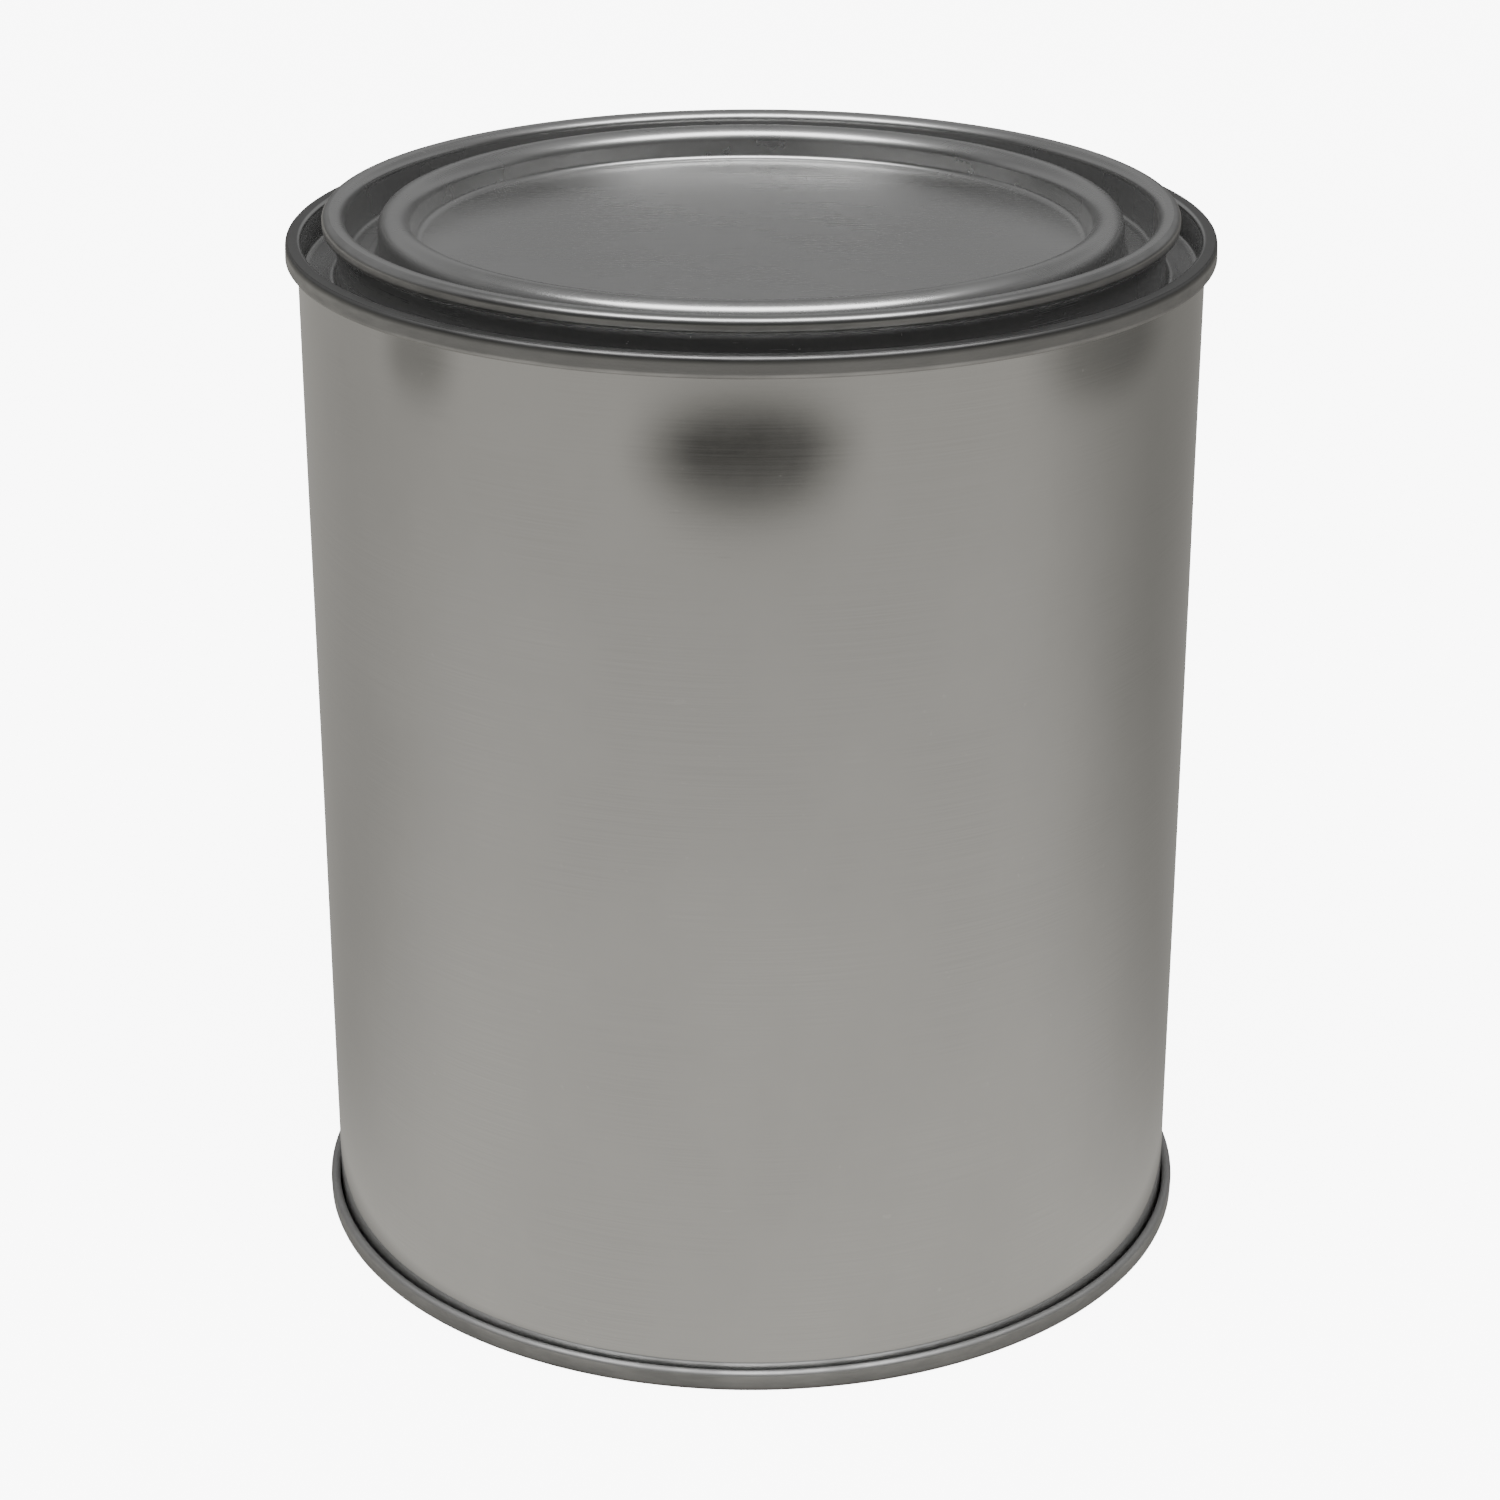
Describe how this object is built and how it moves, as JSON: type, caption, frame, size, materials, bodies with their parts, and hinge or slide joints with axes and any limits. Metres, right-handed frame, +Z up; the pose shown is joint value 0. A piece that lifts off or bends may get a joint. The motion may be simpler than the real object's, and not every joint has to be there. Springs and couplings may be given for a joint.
{
  "type": "paint can",
  "caption": "Round seamed tinplate paint can with double-seamed rims, a gutter ring and a press-in friction plug lid that lifts off.",
  "frame": {"origin": "middle of the base, on the plane that the lower rim stands on", "axes": "+Z up along the can's axis, out through the lid; +Y towards the welded side seam at the back"},
  "size_m": [0.108, 0.108, 0.1269],
  "materials": {
    "body_tinplate": "satin rolled tinplate",
    "end_tinplate": "bright stamped tinplate",
    "lid_tinplate": "bright stamped tinplate",
    "seam_compound": "matt dried sealing compound"
  },
  "bodies": {
    "can": {"can_body": "body_tinplate", "bottom_end": "end_tinplate", "top_ring": "end_tinplate", "top_seam_compound": "seam_compound", "bottom_seam_compound": "seam_compound"},
    "lid_plug": {"lid": "lid_tinplate"}
  },
  "joints": [
    {"name": "lid_lift", "type": "slide", "parent": "can", "child": "lid_plug", "axis": [0, 0, 1], "range_m": [0, 0.06]}
  ]
}
